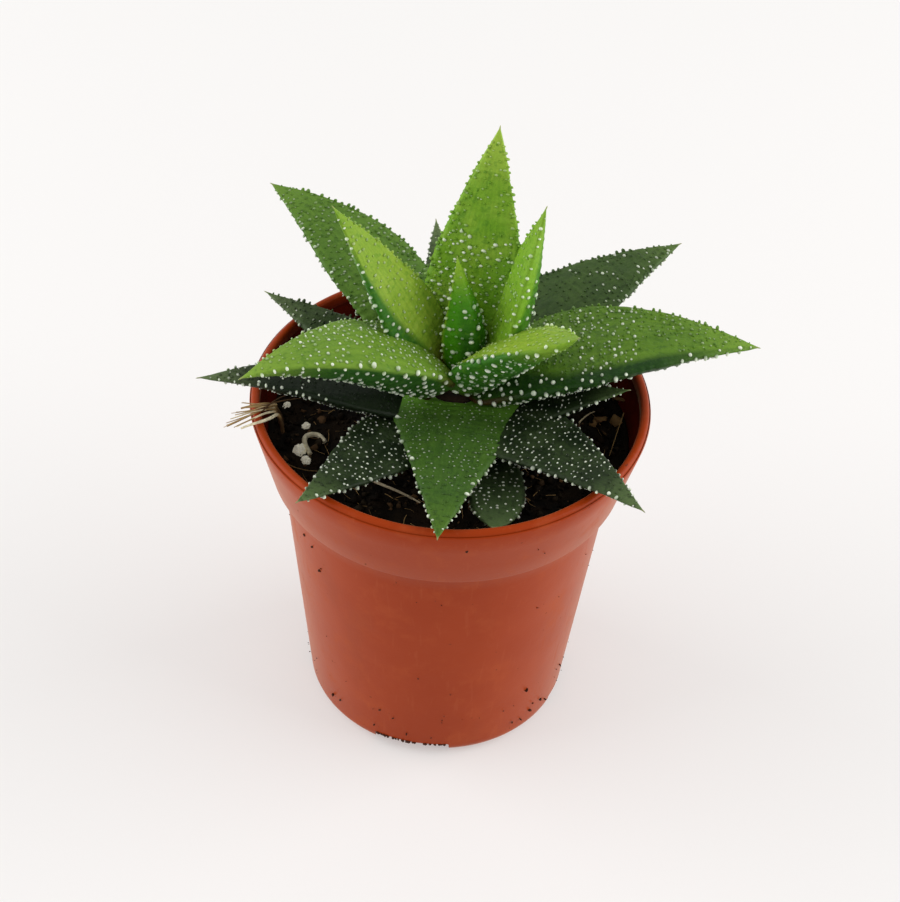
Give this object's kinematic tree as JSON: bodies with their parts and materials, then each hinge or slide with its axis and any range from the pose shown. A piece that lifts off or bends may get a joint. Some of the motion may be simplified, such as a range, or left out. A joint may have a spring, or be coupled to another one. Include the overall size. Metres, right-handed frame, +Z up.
{
  "type": "potted haworthia",
  "caption": "Small potted succulent: a rosette of thick pointed leaves with white tubercles, in soil in a round nursery pot with a flared rim band.",
  "frame": {"origin": "under the middle of the whole object's box, at the level that the pot stands on; the pot's own axis is about 6 mm towards -X and 1 mm towards -Y", "axes": "+Z up along the pot's axis, +Y towards the back of the plant, +X to its right, seen from the front"},
  "size_m": [0.117, 0.096, 0.1365],
  "materials": {
    "pot_plastic": "satin",
    "soil_mix": "matte",
    "stem_bark": "matte",
    "perlite": "matte",
    "leaf_young": "satin",
    "leaf_middle": "satin",
    "leaf_old": "satin"
  },
  "bodies": {
    "root": {"pot": "pot_plastic", "soil": "soil_mix", "stem": "stem_bark", "perlite_1": "perlite", "perlite_2": "perlite", "perlite_3": "perlite", "perlite_4": "perlite", "leaf_crown": "leaf_young", "leaf_young_left": "leaf_young", "leaf_young_right": "leaf_young", "leaf_young_front": "leaf_young", "leaf_tall_back": "leaf_young", "leaf_left": "leaf_middle", "leaf_right": "leaf_middle", "leaf_front": "leaf_middle", "leaf_back_left": "leaf_old", "leaf_back_right": "leaf_old", "leaf_outer_left": "leaf_old", "leaf_outer_back_left": "leaf_old", "leaf_outer_front_right": "leaf_old", "leaf_outer_right": "leaf_old", "leaf_outer_front_left": "leaf_old", "leaf_outer_back": "leaf_old", "leaf_hidden_back": "leaf_old", "leaf_outer_front": "leaf_old"}
  },
  "joints": []
}
